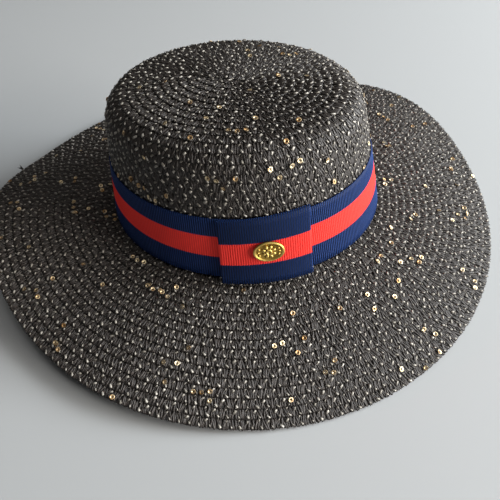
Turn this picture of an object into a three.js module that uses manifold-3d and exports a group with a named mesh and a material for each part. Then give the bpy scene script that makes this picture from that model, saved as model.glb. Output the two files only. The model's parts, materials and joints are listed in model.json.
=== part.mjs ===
// A wide-brimmed straw sun hat: oval crown and wavy brim of spirally sewn braid, a ribbon band around the
// crown, a folded ribbon tab over the band's join and a small metal ornament on the tab.
// Millimetres, +Z up. The hat stands on its brim on the plane z = 0, and the tab faces -Y.

import * as THREE from 'three';
import { mergeVertices } from 'three/addons/utils/BufferGeometryUtils.js';
import Module from 'manifold-3d';

// Head opening: an oval, 560 mm around, turned about the crown's axis
const HEAD_HALF_LENGTH = 95.7;
const HEAD_HALF_WIDTH = 82.1;
const OVAL_TURN_DEG = -26;

// Straw braid: one thickness, sewn in rows that overlap like shingles
const STRAW_THICKNESS = 2;
const ROW_STEP = 0.8;
const OUTER_HALF_LENGTH = HEAD_HALF_LENGTH + STRAW_THICKNESS;
const OUTER_HALF_WIDTH = HEAD_HALF_WIDTH + STRAW_THICKNESS;

// Crown, measured up its own axis from the fold where the brim turns out
const CROWN_HEIGHT = 89;
const SHOULDER_RADIUS = 18;
const TIP_DOME = 2.5;
const WALL_LEAN = 0.17;
const WALL_FOOT = 0.7;
const CROWN_ROWS = 27;
const FLAT_TIP_ROWS = 3;
const CROWN_LINING_RINGS = 9;

// How the crown stands over the floor: its fold is this high, and its axis leans back and to the left
const FOLD_HEIGHT = 35;
const LEAN_BACK_DEG = 5;
const LEAN_LEFT_DEG = 3.8;

// Brim: the length of braid from fold to edge, and how far its sections bulge above a straight line
const BRIM_WIDTH = 93;
const BRIM_BULGE = 2;
const BRIM_ROWS = 16;
const BRIM_UNDER_RINGS = 6;

// Height of the brim's edge over the floor, all round: it dips at the front (270) and at the back (90)
const BRIM_EDGE = [
  { direction_deg: 0, height: 23 },
  { direction_deg: 30, height: 37 },
  { direction_deg: 60, height: 22 },
  { direction_deg: 90, height: 3.5 },
  { direction_deg: 120, height: 3.5 },
  { direction_deg: 150, height: 10 },
  { direction_deg: 180, height: 34 },
  { direction_deg: 210, height: 14 },
  { direction_deg: 240, height: 9 },
  { direction_deg: 270, height: 2 },
  { direction_deg: 300, height: 3.5 },
  { direction_deg: 330, height: 12 },
];

// Ribbon: width of the band, its foot above the fold, and the gap that touching pieces keep
const RIBBON_WIDTH = 43.6;
const RIBBON_THICKNESS = 1;
const RIBBON_FOOT = 2.3;
const SEAT_GAP = 0.3;
const BAND_INNER_OFFSET = ROW_STEP + SEAT_GAP;
const BAND_OUTER_OFFSET = BAND_INNER_OFFSET + RIBBON_THICKNESS;

// Tab: two layers of ribbon, seated on the band at the top and standing off towards its lower edge.
// Each level of it climbs a little from its left end to its right end.
const TAB_DIRECTION_DEG = -85.5;
const TAB_HALF_WIDTH = 28.5;
const TAB_THICKNESS = 2;
const TAB_STEPS = 10;
const TAB_END_STEPS = 4;
const TAB_PROFILE = [
  { height: 1.5, stand_off: 2.6, climb: 0.01 },
  { height: 10, stand_off: 1.8, climb: 0.02 },
  { height: 20, stand_off: 1.1, climb: 0.03 },
  { height: 34, stand_off: 0.6, climb: 0.045 },
  { height: 47.5, stand_off: SEAT_GAP, climb: 0.06 },
];

// Ornament: oval plate with a raised rim, a ring of petals and a dished centre
const ORNAMENT_HALF_WIDTH = 9.8;
const ORNAMENT_HALF_HEIGHT = 7;
const ORNAMENT_BASE = 1;
const ORNAMENT_RIM = 0.8;
const ORNAMENT_HEIGHT = 25;
const ORNAMENT_SIDE_SHIFT = 1.7;
const PETAL_COUNT = 8;
const PETAL_CIRCLE = 3.3;
const PETAL_RADIUS = 1.35;
const CENTRE_RADIUS = 2.1;
const CENTRE_RISE = 1.5;
const PLATE_SIDES = 24;
const CENTRE_SIDES = 12;
const BEAD_DETAIL = 1;
const GRAIN_COUNT = 3;
const GRAIN_RADIUS = 0.9;
const GRAIN_SPACING = 2.1;
const GRAIN_REACH = 6.4;
const GRAIN_CURVE = 0.4;
const BEAD_LIFT = 0.1;

// Sections of the plate and its centre, from the middle of the back to the middle of the face.
// The reach is a share of the piece's half sizes.
const PLATE_SECTION = [
  { reach: 0, height: 0 },
  { reach: 0.94, height: 0 },
  { reach: 1, height: ORNAMENT_BASE / 2 },
  { reach: 0.94, height: ORNAMENT_BASE + ORNAMENT_RIM },
  { reach: 0.84, height: ORNAMENT_BASE + ORNAMENT_RIM },
  { reach: 0.76, height: ORNAMENT_BASE },
  { reach: 0, height: ORNAMENT_BASE },
];
const CENTRE_SECTION = [
  { reach: 0, height: ORNAMENT_BASE / 2 },
  { reach: 1, height: ORNAMENT_BASE / 2 },
  { reach: 0.9, height: ORNAMENT_BASE + CENTRE_RISE },
  { reach: 0.5, height: ORNAMENT_BASE + CENTRE_RISE },
  { reach: 0, height: ORNAMENT_BASE + CENTRE_RISE / 2 },
];

// Segments around the hat, and how close vertices are one before a join
const AROUND = 48;
const MERGE_TOLERANCE = 1e-4;

const OVAL_TURN = THREE.MathUtils.degToRad(OVAL_TURN_DEG);
const wasm = await Module();
wasm.setup();

const MATERIALS = {
  straw: new THREE.MeshStandardMaterial({ color: 0x2b2826, roughness: 0.7, metalness: 0 }),
  ribbon: new THREE.MeshStandardMaterial({ color: 0x1a2340, roughness: 0.8, metalness: 0 }),
  brass: new THREE.MeshStandardMaterial({ color: 0xc79a3a, roughness: 0.35, metalness: 1 }),
};

// Point of the outer oval, moved inwards by an inset
function ovalPoint(parameter, inset, z) {
  const x = (OUTER_HALF_LENGTH - inset) * Math.cos(parameter);
  const y = (OUTER_HALF_WIDTH - inset) * Math.sin(parameter);
  return new THREE.Vector3(x, y, z).applyAxisAngle(new THREE.Vector3(0, 0, 1), OVAL_TURN);
}

// Level direction that points straight out of the oval
function ovalOutward(parameter) {
  const x = Math.cos(parameter) / OUTER_HALF_LENGTH;
  const y = Math.sin(parameter) / OUTER_HALF_WIDTH;
  return new THREE.Vector3(x, y, 0).normalize().applyAxisAngle(new THREE.Vector3(0, 0, 1), OVAL_TURN);
}

function ovalRing(inset, z) {
  const ring = [];
  for (let i = 0; i < AROUND; i += 1) {
    ring.push(ovalPoint((2 * Math.PI * i) / AROUND, inset, z));
  }
  return ring;
}

// Solid skinned over rings of equal length, which run anticlockwise seen from above.
// Capped, it goes from a closed top ring to a closed bottom ring. Otherwise the last ring joins the first.
function skinRings(rings, capped) {
  const count = rings[0].length;
  const vertices = rings.flat().flatMap((point) => point.toArray());
  const index = [];
  const spans = capped ? rings.length - 1 : rings.length;
  for (let r = 0; r < spans; r += 1) {
    const here = r * count;
    const next = ((r + 1) % rings.length) * count;
    for (let i = 0; i < count; i += 1) {
      const j = (i + 1) % count;
      index.push(here + i, next + i, next + j);
      index.push(here + i, next + j, here + j);
    }
  }
  if (capped) {
    const last = rings.length - 1;
    index.push(...ringCap(rings[0]).flat());
    index.push(...ringCap(rings[last]).flatMap(([a, b, c]) => [a, c, b]).map((i) => i + last * count));
  }
  const geometry = new THREE.BufferGeometry();
  geometry.setAttribute('position', new THREE.Float32BufferAttribute(vertices, 3));
  geometry.setIndex(index);
  geometry.computeVertexNormals();
  return geometry;
}

// Triangles that fill a ring as it is seen from above
function ringCap(ring) {
  const contour = ring.map((point) => new THREE.Vector2(point.x, point.y));
  return THREE.ShapeUtils.triangulateShape(contour, []);
}

function namedMesh(name, geometry, material) {
  const mesh = new THREE.Mesh(geometry, material);
  mesh.name = name;
  return mesh;
}

// Crown section from the fold to the middle of the tip, as inset from the outer oval against height
function crownProfile() {
  const wallAngle = Math.atan(WALL_LEAN);
  const centreZ = CROWN_HEIGHT - SHOULDER_RADIUS;
  const centreInset = WALL_LEAN * centreZ + SHOULDER_RADIUS / Math.cos(wallAngle);
  const profile = new THREE.Path();
  profile.moveTo(WALL_LEAN * WALL_FOOT, WALL_FOOT);
  profile.lineTo(
    centreInset - SHOULDER_RADIUS * Math.cos(wallAngle),
    centreZ + SHOULDER_RADIUS * Math.sin(wallAngle),
  );
  profile.absarc(centreInset, centreZ, SHOULDER_RADIUS, Math.PI - wallAngle, Math.PI / 2, true);
  profile.quadraticCurveTo(
    (centreInset + OUTER_HALF_WIDTH) / 2,
    CROWN_HEIGHT + TIP_DOME,
    OUTER_HALF_WIDTH,
    CROWN_HEIGHT + TIP_DOME,
  );
  return profile;
}

// Ring of the crown at a share of the section's length, moved along the section's outward normal
function crownRing(profile, share, offset) {
  const point = profile.getPointAt(share);
  const tangent = profile.getTangentAt(share);
  return ovalRing(point.x - tangent.y * offset, point.y + tangent.x * offset);
}

// Hollow crown: rows step down from the flat tip to the foot outside, and the inside is smooth
function buildCrown() {
  const profile = crownProfile();
  const steppedRows = CROWN_ROWS - FLAT_TIP_ROWS;
  const rings = [];
  for (let row = steppedRows - 1; row >= 0; row -= 1) {
    rings.push(crownRing(profile, (row + 1) / CROWN_ROWS, 0));
    rings.push(crownRing(profile, row / CROWN_ROWS, ROW_STEP));
  }
  for (let i = 0; i <= CROWN_LINING_RINGS; i += 1) {
    const share = ((i / CROWN_LINING_RINGS) * steppedRows) / CROWN_ROWS;
    rings.push(crownRing(profile, share, -STRAW_THICKNESS));
  }
  return namedMesh('crown', skinRings(rings, true), MATERIALS.straw);
}

// Smooth height of the brim's edge in any direction, through the rows of the table
function edgeHeight(direction) {
  const rows = BRIM_EDGE.length;
  const place = (THREE.MathUtils.euclideanModulo(direction, 2 * Math.PI) / (2 * Math.PI)) * rows;
  const row = Math.floor(place);
  const height = (step) => BRIM_EDGE[(row + step + rows) % rows].height;
  return catmullRom(place - row, height(-1), height(0), height(1), height(2));
}

// Cubic from start to end, with the slopes of the chords between their neighbours
function catmullRom(t, before, start, end, after) {
  const startSlope = (end - before) / 2;
  const endSlope = (after - start) / 2;
  const cubic = 2 * start - 2 * end + startSlope + endSlope;
  const square = -3 * start + 3 * end - 2 * startSlope - endSlope;
  return cubic * t ** 3 + square * t ** 2 + startSlope * t + start;
}

// Brim section in one direction: where it starts at the fold, and its rise and reach to the edge
function brimSection(parameter, lean) {
  const fold = ovalPoint(parameter, 0, 0).applyMatrix4(lean);
  const collar = ovalPoint(parameter, STRAW_THICKNESS, 0).applyMatrix4(lean);
  const outward = ovalOutward(parameter);
  const far = fold.clone().addScaledVector(outward, BRIM_WIDTH);
  const rise = edgeHeight(Math.atan2(far.y, far.x)) - fold.z;
  const reach = Math.sqrt(BRIM_WIDTH ** 2 - rise ** 2);
  return { fold, collar, outward, rise, reach };
}

// Point of a brim section at a share of its reach, moved along the section's upward normal.
// The section bulges as a parabola does, most at half way.
function brimPoint(section, share, offset) {
  const slope = section.rise + 4 * BRIM_BULGE * (1 - 2 * share);
  const length = Math.hypot(section.reach, slope);
  const out = section.reach * share - (slope / length) * offset;
  const up = section.rise * share + 4 * BRIM_BULGE * share * (1 - share) + (section.reach / length) * offset;
  return section.fold.clone().addScaledVector(section.outward, out).add(new THREE.Vector3(0, 0, up));
}

// Brim: a collar under the crown's wall, then rows that step down to the edge, and a smooth underside
function buildBrim(lean) {
  const sections = [];
  for (let i = 0; i < AROUND; i += 1) {
    sections.push(brimSection((2 * Math.PI * i) / AROUND, lean));
  }
  const ringAt = (share, offset) => sections.map((section) => brimPoint(section, share, offset));
  const down = new THREE.Vector3(0, 0, -STRAW_THICKNESS);
  const rings = [sections.map((section) => section.collar)];
  for (let row = 0; row < BRIM_ROWS; row += 1) {
    rings.push(ringAt(row / BRIM_ROWS, 0));
    rings.push(ringAt((row + 1) / BRIM_ROWS, ROW_STEP));
  }
  for (let i = BRIM_UNDER_RINGS; i >= 0; i -= 1) {
    rings.push(ringAt(i / BRIM_UNDER_RINGS, -STRAW_THICKNESS));
  }
  rings.push(sections.map((section) => section.collar.clone().add(down)));
  return namedMesh('brim', skinRings(rings, false), MATERIALS.straw);
}

// Point on the crown's wall line at a height, moved straight out of the wall by an offset
function wallPoint(parameter, z, offset) {
  return ovalPoint(parameter, WALL_LEAN * z - offset, z);
}

// Ribbon band: a thin hoop along the wall
function buildBand() {
  const top = RIBBON_FOOT + RIBBON_WIDTH;
  const hoop = (z, offset) => ovalRing(WALL_LEAN * z - offset, z);
  const rings = [
    hoop(top, BAND_INNER_OFFSET),
    hoop(top, BAND_OUTER_OFFSET),
    hoop(RIBBON_FOOT, BAND_OUTER_OFFSET),
    hoop(RIBBON_FOOT, BAND_INNER_OFFSET),
  ];
  return namedMesh('ribbon_band', skinRings(rings, false), MATERIALS.ribbon);
}

// Place on the oval that faces a direction, and how far the oval runs there for each radian
function ovalPlace(directionDeg) {
  const direction = THREE.MathUtils.degToRad(directionDeg) - OVAL_TURN;
  const parameter = Math.atan2(
    Math.sin(direction) / OUTER_HALF_WIDTH,
    Math.cos(direction) / OUTER_HALF_LENGTH,
  );
  const speed = Math.hypot(
    OUTER_HALF_LENGTH * Math.sin(parameter),
    OUTER_HALF_WIDTH * Math.cos(parameter),
  );
  return { parameter, speed };
}

// Ribbon tab: a flat loop with round folded ends, skinned from its lower edge to its upper edge
function buildTab() {
  const place = ovalPlace(TAB_DIRECTION_DEG);
  const halfThickness = TAB_THICKNESS / 2;
  const halfRun = TAB_HALF_WIDTH - halfThickness;
  const outline = [];
  for (let i = 0; i <= TAB_STEPS; i += 1) {
    outline.push({ along: -halfRun + (2 * halfRun * i) / TAB_STEPS, out: halfThickness });
  }
  for (let i = 1; i < TAB_END_STEPS; i += 1) {
    const angle = Math.PI / 2 - (Math.PI * i) / TAB_END_STEPS;
    outline.push({ along: halfRun + halfThickness * Math.cos(angle), out: halfThickness * Math.sin(angle) });
  }
  outline.push(...outline.map(({ along, out }) => ({ along: -along, out: -out })));
  const rings = TAB_PROFILE.map(({ height, stand_off: standOff, climb }) => {
    const middle = BAND_OUTER_OFFSET + standOff + halfThickness;
    return outline.map(({ along, out }) => {
      return wallPoint(place.parameter + along / place.speed, height + climb * along, middle + out);
    });
  });
  return namedMesh('ribbon_tab', skinRings(rings.reverse(), true), MATERIALS.ribbon);
}

function toManifold(geometry) {
  const bare = geometry.clone();
  bare.deleteAttribute('normal');
  bare.deleteAttribute('uv');
  const merged = mergeVertices(bare, MERGE_TOLERANCE);
  return new wasm.Manifold(new wasm.Mesh({
    numProp: 3,
    vertProperties: Float32Array.from(merged.getAttribute('position').array),
    triVerts: Uint32Array.from(merged.getIndex().array),
  }));
}

function fuse(geometries) {
  const solid = geometries.map(toManifold).reduce((whole, piece) => whole.add(piece));
  const mesh = solid.getMesh();
  const geometry = new THREE.BufferGeometry();
  geometry.setAttribute('position', new THREE.Float32BufferAttribute(mesh.vertProperties, 3));
  geometry.setIndex(Array.from(mesh.triVerts));
  geometry.computeVertexNormals();
  return geometry;
}

// Oval solid turned from a section, lying in the XY plane
function turned(section, halfWidth, halfHeight, sides) {
  const points = section.map(({ reach, height }) => new THREE.Vector2(reach, height));
  return new THREE.LatheGeometry(points, sides).rotateX(Math.PI / 2).scale(halfWidth, halfHeight, 1);
}

// Ornament lying in its own XY plane, with its back at z = 0
function ornamentGeometry() {
  const pieces = [
    turned(PLATE_SECTION, ORNAMENT_HALF_WIDTH, ORNAMENT_HALF_HEIGHT, PLATE_SIDES),
    turned(CENTRE_SECTION, CENTRE_RADIUS, CENTRE_RADIUS, CENTRE_SIDES),
  ];
  for (let i = 0; i < PETAL_COUNT; i += 1) {
    const angle = (2 * Math.PI * (i + 0.5)) / PETAL_COUNT;
    const petal = new THREE.OctahedronGeometry(PETAL_RADIUS, BEAD_DETAIL);
    const across = PETAL_CIRCLE * Math.cos(angle);
    const up = PETAL_CIRCLE * Math.sin(angle);
    petal.translate(across, up, ORNAMENT_BASE + BEAD_LIFT);
    pieces.push(petal);
  }
  for (const side of [-1, 1]) {
    for (let i = 0; i < GRAIN_COUNT; i += 1) {
      const grain = new THREE.OctahedronGeometry(GRAIN_RADIUS, BEAD_DETAIL);
      const step = i - (GRAIN_COUNT - 1) / 2;
      const reach = GRAIN_REACH - GRAIN_CURVE * Math.abs(step);
      grain.translate(side * reach, step * GRAIN_SPACING, ORNAMENT_BASE + BEAD_LIFT);
      pieces.push(grain);
    }
  }
  return fuse(pieces);
}

// Ornament on the tab's face, square to it
function buildOrnament() {
  const place = ovalPlace(TAB_DIRECTION_DEG);
  const parameter = place.parameter + ORNAMENT_SIDE_SHIFT / place.speed;
  const lower = TAB_PROFILE.findLast(({ height }) => height <= ORNAMENT_HEIGHT);
  const upper = TAB_PROFILE.find(({ height }) => height > ORNAMENT_HEIGHT);
  const share = (ORNAMENT_HEIGHT - lower.height) / (upper.height - lower.height);
  const standOff = THREE.MathUtils.lerp(lower.stand_off, upper.stand_off, share);
  const face = BAND_OUTER_OFFSET + standOff + TAB_THICKNESS;
  const slope = WALL_LEAN + (lower.stand_off - upper.stand_off) / (upper.height - lower.height);
  const normal = ovalOutward(parameter).add(new THREE.Vector3(0, 0, slope)).normalize();
  const side = new THREE.Vector3(0, 0, 1).cross(normal).normalize();
  const mesh = namedMesh('ornament', ornamentGeometry(), MATERIALS.brass);
  mesh.setRotationFromMatrix(new THREE.Matrix4().makeBasis(side, normal.clone().cross(side), normal));
  mesh.position.copy(wallPoint(parameter, ORNAMENT_HEIGHT, face)).addScaledVector(normal, SEAT_GAP);
  return mesh;
}

// The head group leans as the crown does. Its pieces are modelled up the crown's axis.
const head = new THREE.Group();
head.rotation.set(-THREE.MathUtils.degToRad(LEAN_BACK_DEG), -THREE.MathUtils.degToRad(LEAN_LEFT_DEG), 0);
head.position.z = FOLD_HEIGHT;
head.updateMatrix();
head.add(buildCrown(), buildBand(), buildTab(), buildOrnament());

const brim = buildBrim(head.matrix);
const hat = new THREE.Group();
hat.add(head, brim);

// Stand the brim's lowest points on the floor, with the origin under the middle of the brim
brim.geometry.computeBoundingBox();
const brimBox = brim.geometry.boundingBox;
const brimCentre = brimBox.getCenter(new THREE.Vector3());
hat.position.set(-brimCentre.x, -brimCentre.y, -brimBox.min.z);

export default hat;
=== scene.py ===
"""Looks of a wide-brimmed straw sun hat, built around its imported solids.

The crown and the brim become rows of plaited braid with metallic thread and ring sequins, the ribbons become
ribbed grosgrain, and the ornament becomes a finer casting. Shapes are worked out in millimetres, in the
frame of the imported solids, and become metres in mesh_piece. The floor and the lights are in metres. Angles
are in degrees where their names say so, and otherwise in radians.
"""

import json
import math

import bpy
import numpy as np
from mathutils import Matrix, Vector


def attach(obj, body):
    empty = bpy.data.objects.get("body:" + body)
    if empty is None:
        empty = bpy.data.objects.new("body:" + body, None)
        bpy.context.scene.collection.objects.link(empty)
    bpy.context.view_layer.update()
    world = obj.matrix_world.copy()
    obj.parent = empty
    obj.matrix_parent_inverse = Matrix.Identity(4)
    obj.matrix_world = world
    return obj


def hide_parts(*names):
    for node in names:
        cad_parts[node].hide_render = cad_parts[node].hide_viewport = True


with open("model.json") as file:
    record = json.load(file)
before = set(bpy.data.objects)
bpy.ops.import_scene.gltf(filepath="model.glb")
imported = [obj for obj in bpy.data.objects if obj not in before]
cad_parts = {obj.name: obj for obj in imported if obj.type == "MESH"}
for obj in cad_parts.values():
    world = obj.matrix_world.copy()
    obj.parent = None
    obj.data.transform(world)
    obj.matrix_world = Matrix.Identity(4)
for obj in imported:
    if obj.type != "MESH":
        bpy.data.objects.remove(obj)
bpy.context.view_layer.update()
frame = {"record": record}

MM = 0.001
FULL_TURN = 2 * math.pi
SEED = 11
MERGE_PLACES_PER_MM = 100

# The two faces of the straw, as signs of the way off them
OUTSIDE = 1
INSIDE = -1

# Head oval and straw wall, as in the solids
OUTER_HALF_LENGTH = 97.7
OUTER_HALF_WIDTH = 84.1
OVAL_TURN = math.radians(-26)
STRAW_THICKNESS = 2
ROW_STEP = 0.8

# Crown section, measured up its own axis from the fold
CROWN_HEIGHT = 89
SHOULDER_RADIUS = 18
TIP_DOME = 2.5
WALL_LEAN = 0.17
WALL_FOOT = 0.7
CROWN_ROWS = 27
SECTION_CURVE_POINTS = 80

# How the crown stands: its axis leans back and to the left over the fold's centre
FOLD_HEIGHT = 35
LEAN_BACK_DEG = 5
LEAN_LEFT_DEG = 3.8

# Brim, with the height of its edge over the floor in every direction, 30 degrees apart from +X
BRIM_WIDTH = 93
BRIM_BULGE = 2
BRIM_ROWS = 16
BRIM_COLLAR = 2
BRIM_EDGE_HEIGHTS = (23, 37, 22, 3.5, 3.5, 10, 34, 14, 9, 2, 3.5, 12)

# Spirals: steps in a turn of the ground mesh, its places across a row, and steps in a turn of the line along
# which lengths are measured. In each turn the braid moves out by a row over its splice, a share of the turn
# that ends at the given angle.
GROUND_STEPS = 128
GROUND_LEVELS = 3
SPIRAL_STEPS = 256
CROWN_SPLICE = 1.0
CROWN_SPLICE_END_DEG = 0
BRIM_SPLICE = 0.3
BRIM_SPLICE_END_DEG = 185.5

# Plait: strands side by side across the row, over low lumps of the braid. A strand starts and ends at shares
# of the row's width, drifts along the row in between, and stands over the row's face by the lifts of its
# root, of the inner and outer ends of its ridge and of its tip. Its sides lie lower than its ridge by its
# depth. On the inside the lifts swap ends, and all strands lie a little deeper, so that the brim stays on
# the floor.
STRAND_STEP = 0.9
STRAND_STRAY = {"along": 0.4, "across": 0.06, "slant": 6.0, "size": 0.3, "heave": 0.15}
INSIDE_SINK = 0.45
LUMP_PITCH = 6.2
LUMP_RELIEF = 0.12
PLAIT_BANDS = (
    {
        "start": -0.06, "end": 1.06, "drift": 0.5, "shift": 0.0, "half_width": 0.72,
        "root": 0.58, "inner": 0.62, "outer": 0.42, "tip": 0.28, "depth": 0.32,
    },
)

# Metallic thread: in every repeat it comes up four times, at two slants. A turn of the crown has no more
# than so many repeats, so down its wall the flecks line up in slightly slanted columns.
THREAD_REPEAT = 12.4
CROWN_REPEATS = 42.12
THREAD_STRAY = {"along": 0.3, "across": 0.025, "slant": 0.5, "size": 0.22, "heave": 0.07}
THREAD_DASHES = (
    {
        "start": 0.45, "end": 0.10, "drift": 1.8, "shift": 4.0, "half_width": 0.8,
        "root": 0.4, "inner": 1.08, "outer": 1.12, "tip": 0.4, "depth": 0.5,
    },
    {
        "start": 0.62, "end": 0.96, "drift": 1.8, "shift": 0.0, "half_width": 0.72,
        "root": 0.3, "inner": 1.0, "outer": 0.92, "tip": 0.2, "depth": 0.5,
    },
    {
        "start": 0.24, "end": 0.0, "drift": 1.2, "shift": 11.2, "half_width": 0.48,
        "root": 0.4, "inner": 0.96, "outer": 1.0, "tip": 0.4, "depth": 0.4,
    },
    {
        "start": 0.66, "end": 0.90, "drift": 1.2, "shift": 6.8, "half_width": 0.45,
        "root": 0.3, "inner": 0.86, "outer": 0.8, "tip": 0.2, "depth": 0.4,
    },
)

# Corners of a strand: how far along it they lie, how far aside of its ridge, and the lift that they take
STRAND_CORNERS = (
    {"station": 0.0, "aside": 0.0, "lift": "root"},
    {"station": 0.15, "aside": 0.0, "lift": "inner"},
    {"station": 0.85, "aside": 0.0, "lift": "outer"},
    {"station": 1.0, "aside": 0.0, "lift": "tip"},
    {"station": 0.1, "aside": -1.0, "lift": "inner"},
    {"station": 0.9, "aside": -1.0, "lift": "outer"},
    {"station": 0.1, "aside": 1.0, "lift": "inner"},
    {"station": 0.9, "aside": 1.0, "lift": "outer"},
)
STRAND_FACES = (
    (0, 4, 1), (1, 4, 5, 2), (2, 5, 3),
    (0, 1, 6), (1, 2, 7, 6), (2, 3, 7),
    (0, 6, 4), (4, 6, 7, 5), (5, 7, 3),
)
SWAPPED_LIFTS = {"root": "tip", "inner": "outer", "outer": "inner", "tip": "root"}

# How far strands may reach past the braid's edges and under the ribbon, in rows
OUTER_OVERHANG = 0.09
INNER_OVERHANG = 0.5
UNDER_RIBBON = 0.3

# Sequins: cupped rings strung on the thread
SEQUIN_SPACING = 90
SEQUIN_RUN_CHANCES = (0.86, 0.11, 0.03)
SEQUIN_RUN_STEP = 5
SEQUIN_ACROSS = (0.3, 0.8)
SEQUIN_LIFT = 1.1
SEQUIN_TILT_DEG = 24
SEQUIN_SIDES = 10
SEQUIN_SECTION = (
    {"radius": 0.45, "height": 0.02},
    {"radius": 1.05, "height": 0.12},
    {"radius": 1.55, "height": 0.42},
    {"radius": 1.58, "height": 0.36},
    {"radius": 1.05, "height": 0.05},
    {"radius": 0.45, "height": -0.05},
)

# Frayed yarns where the braid ends at the brim's edge
END_YARNS = 12
END_LENGTH = 6
END_HALF_WIDTH = 0.7
END_RISE = 1.1
END_SPREAD_DEG = 38
END_ACROSS = 0.95
END_LIFT = 0.1
END_SHORTEST = 0.5
END_FACES = ((0, 1, 4), (1, 2, 4), (2, 3, 4), (3, 0, 4), (3, 2, 1, 0))

# Ribbon band and tab
RIBBON_WIDTH = 43.6
RIBBON_FOOT = 2.3
BAND_INNER_OFFSET = 1.1
BAND_OUTER_OFFSET = 2.1
BAND_RED = (17.9, 33.3)
RIB_PITCH = 1.45
RIB_RELIEF = 0.42
RIB_SECTION = (0.0, 0.75, 1.0, 0.75)
RIBBON_LEVELS = 12
STRIPE_PLACES = (0, 1 / 3, 2 / 3, 1)
TAB_DIRECTION_DEG = -85.5
TAB_HALF_WIDTH = 28.5
TAB_THICKNESS = 2
TAB_CLOTH = 0.8
TAB_RED_SHARES = (0.305, 0.645)
TAB_PROFILE = (
    {"height": 1.5, "stand_off": 2.6, "climb": 0.01, "right": -0.6},
    {"height": 10, "stand_off": 1.8, "climb": 0.02, "right": 0.0},
    {"height": 20, "stand_off": 1.1, "climb": 0.03, "right": 0.8},
    {"height": 34, "stand_off": 0.6, "climb": 0.045, "right": 2.0},
    {"height": 47.5, "stand_off": 0.3, "climb": 0.06, "right": 3.2},
)

# Ornament on the tab
ORNAMENT_HALF_WIDTH = 9.8
ORNAMENT_HALF_HEIGHT = 7
ORNAMENT_BASE = 1
ORNAMENT_HEIGHT = 25
ORNAMENT_SIDE_SHIFT = 1.7
SEAT_GAP = 0.3
PLATE_SIDES = 72
PLATE_SECTION = (
    {"reach": 0, "height": 0},
    {"reach": 0.94, "height": 0},
    {"reach": 0.985, "height": 0.2},
    {"reach": 1, "height": 0.6},
    {"reach": 0.99, "height": 1.2},
    {"reach": 0.96, "height": 1.65},
    {"reach": 0.91, "height": 1.8},
    {"reach": 0.86, "height": 1.7},
    {"reach": 0.80, "height": 1.2},
    {"reach": 0.76, "height": ORNAMENT_BASE},
    {"reach": 0, "height": ORNAMENT_BASE},
)
CENTRE_SIDES = 32
CENTRE_RADIUS = 2.1
CENTRE_RISE = 1.5
CENTRE_SECTION = (
    {"reach": 0, "height": 0.5},
    {"reach": 1, "height": 0.5},
    {"reach": 1, "height": 1.7},
    {"reach": 0.92, "height": 2.3},
    {"reach": 0.75, "height": 2.5},
    {"reach": 0.58, "height": 2.3},
    {"reach": 0.45, "height": 1.6},
    {"reach": 0, "height": 1.4},
)
PETAL_COUNT = 8
PETAL_CIRCLE = 3.3
PETAL_HALF_LENGTH = 1.5
PETAL_HALF_WIDTH = 1.15
PETAL_HEIGHT = 1.2
GRAIN_RADIUS = 0.9
GRAIN_SPACING = 2.1
GRAIN_REACH = 6.4
GRAIN_CURVE = 0.4
BEAD_RINGS = 9
BEAD_SIDES = 16

# Straw finishes: tones over patches of noise, and bumps from a finer grain. The ground's tones are darker
# than the yarn's: painted shade in the gaps between strands, where the ground shows
STRAW_LOOKS = {
    "ground": {
        "name": "straw_ground", "roughness": 0.8, "bump": 0.4,
        # Painted shade: darker than the yarn, so the gaps between strands show dark
        "tones": ((0.006, 0.005, 0.005), (0.011, 0.010, 0.009), (0.018, 0.016, 0.014)),
    },
    "strand": {
        "name": "straw_yarn", "roughness": 0.53, "bump": 0.3,
        "tones": ((0.011, 0.008, 0.0065), (0.022, 0.016, 0.013), (0.043, 0.033, 0.027)),
    },
}
STRAW_TONE_PLACES = (0.38, 0.54, 0.70)
STRAW_PATCH_SCALE = 1000.0
STRAW_GRAIN_SCALE = 2600.0
STRAW_NOISE_DETAIL = 2.0
STRAW_BUMP_HEIGHT = 0.2
STRAW_SPECULAR = 0.6

# Metal finishes of the thread and the sequins
METAL_LOOKS = {
    "thread": {
        "name": "metal_thread", "metallic": 0.4, "roughness": 0.52, "patch_scale": 300.0,
        "tones": ((0.18, 0.165, 0.14), (0.42, 0.395, 0.355)),
    },
    "sequin": {
        "name": "gold_sequin", "metallic": 0.8, "roughness": 0.38, "patch_scale": 160.0,
        "tones": ((0.38, 0.22, 0.09), (0.74, 0.62, 0.41)),
    },
}
METAL_TONE_PLACES = (0.35, 0.65)
METAL_NOISE_DETAIL = 1.0

# Ribbon finish: where the red ends and the navy starts, from the middle of the texture map, and the painted
# shade
# in the grooves between ribs: how dark it makes each colour, with the places from groove to ridge, in ribs,
# where this painted shade starts to lift and is gone
NAVY = (0.014, 0.042, 0.165)
RED = (0.97, 0.050, 0.040)
RED_END = 0.163
NAVY_START = 0.170
NAVY_GROOVE_PAINTED_SHADE = 0.04
RED_GROOVE_PAINTED_SHADE = 0.8
GROOVE_END = 0.08
RIDGE_START = 0.46
RIBBON_ROUGHNESS = 0.6
RIBBON_SPECULAR = 0.14

# Brass finish: tones by the height of the relief, which the grain adds to: painted shade in the recesses and
# a painted highlight on the raised parts, over the brass's own colour and its real grain
BRASS_SHADE_TO_HIGHLIGHT_TONES = ((0.32, 0.20, 0.04), (0.50, 0.34, 0.08), (0.74, 0.54, 0.17))
BRASS_SHADE_TO_HIGHLIGHT_PLACES = (0.5, 0.64, 0.97)
BRASS_GRAIN_SCALE = 900.0
BRASS_GRAIN_DETAIL = 3.0
BRASS_GRAIN_SHARE = 0.3
BRASS_ROUGHNESS = 0.5

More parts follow.
